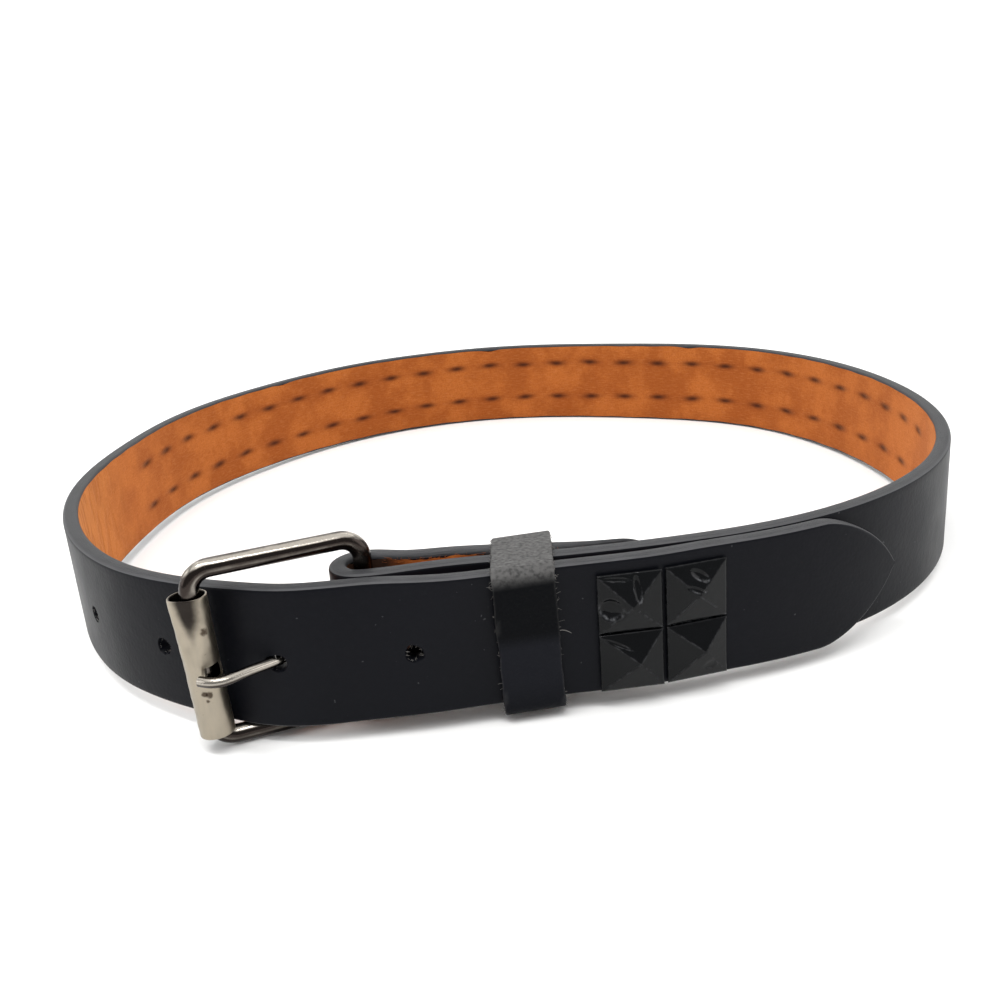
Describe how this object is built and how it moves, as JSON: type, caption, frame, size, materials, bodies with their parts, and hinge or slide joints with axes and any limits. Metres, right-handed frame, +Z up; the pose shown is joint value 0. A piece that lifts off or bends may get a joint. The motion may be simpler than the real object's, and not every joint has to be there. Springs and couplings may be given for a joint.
{
  "type": "studded belt",
  "caption": "A fastened black leather belt standing on its edge as a loop, with orange suede inside, a nickel roller buckle, a keeper and rows of black pyramid studs.",
  "frame": {"origin": "middle of the underside of the bounding box, on the floor the belt stands on", "axes": "+X to the right seen from the buckle side, -Y towards the buckle side, +Z up along the strap's width"},
  "size_m": [0.2526, 0.2464, 0.0424],
  "materials": {
    "black_leather": "smooth coated black leather, satin, with a dark grey painted edge",
    "orange_suede": "brushed orange suede, matte",
    "nickel": "worn nickel plate on steel wire and sheet, lightly scratched",
    "black_stud": "glossy black enamel on pressed metal"
  },
  "bodies": {
    "root": {"strap": "black_leather", "strap_backing": "orange_suede", "keeper": "black_leather", "buckle_frame": "nickel", "roller": "nickel", "prong": "nickel", "front_stud_lower_left": "black_stud", "front_stud_upper_left": "black_stud", "front_stud_lower_right": "black_stud", "front_stud_upper_right": "black_stud", "back_studs_lower": "black_stud", "back_studs_upper": "black_stud"}
  },
  "joints": []
}
